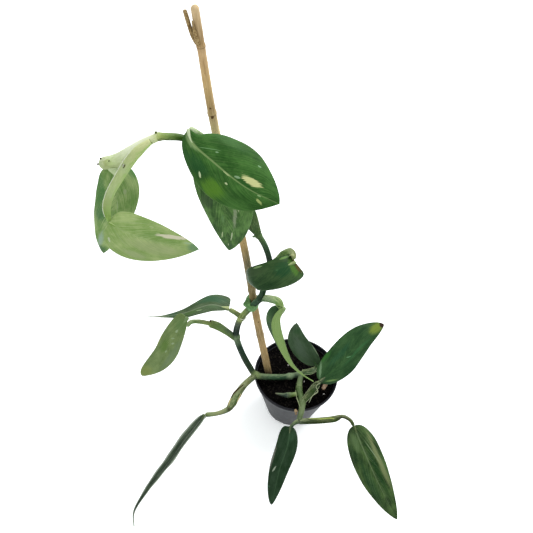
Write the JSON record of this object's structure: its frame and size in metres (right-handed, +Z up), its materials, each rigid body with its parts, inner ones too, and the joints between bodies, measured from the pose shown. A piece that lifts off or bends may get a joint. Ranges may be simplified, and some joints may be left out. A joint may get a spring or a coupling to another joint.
{
  "type": "potted monstera standleyana",
  "caption": "Young climbing aroid house plant with long lance-shaped leaves, clipped to a bamboo cane that stands in a tapered nursery pot of soil.",
  "frame": {"origin": "centre of the pot's flat base, on the surface it stands on", "axes": "+Z up along the pot's axis, -Y to the front, +X to the right seen from the front"},
  "size_m": [0.3684, 0.2568, 0.6325],
  "materials": {
    "pot": "matt dark grey moulded plastic with a soft sheen",
    "soil": "dark moist potting mix, matt and crumbly",
    "wood_chip": "pale raw wood chip",
    "cane": "dry tan bamboo with darker joints",
    "tie": "mint green soft plastic",
    "stem": "smooth dark green stem, paler at its joints and young end",
    "leaf": "semi-gloss green blade with a pale midrib and cream flecks"
  },
  "bodies": {
    "root": {"pot": "pot", "soil": "soil", "wood_chip": "wood_chip", "cane": "cane", "tie": "tie", "stem": "stem", "leaf_a": "leaf", "leaf_p": "leaf", "leaf_b": "leaf", "leaf_c": "leaf", "leaf_m": "leaf", "leaf_n": "leaf", "leaf_j": "leaf", "leaf_k": "leaf", "leaf_l": "leaf", "leaf_q": "leaf", "leaf_r": "leaf", "leaf_f": "leaf", "leaf_g": "leaf"}
  },
  "joints": []
}
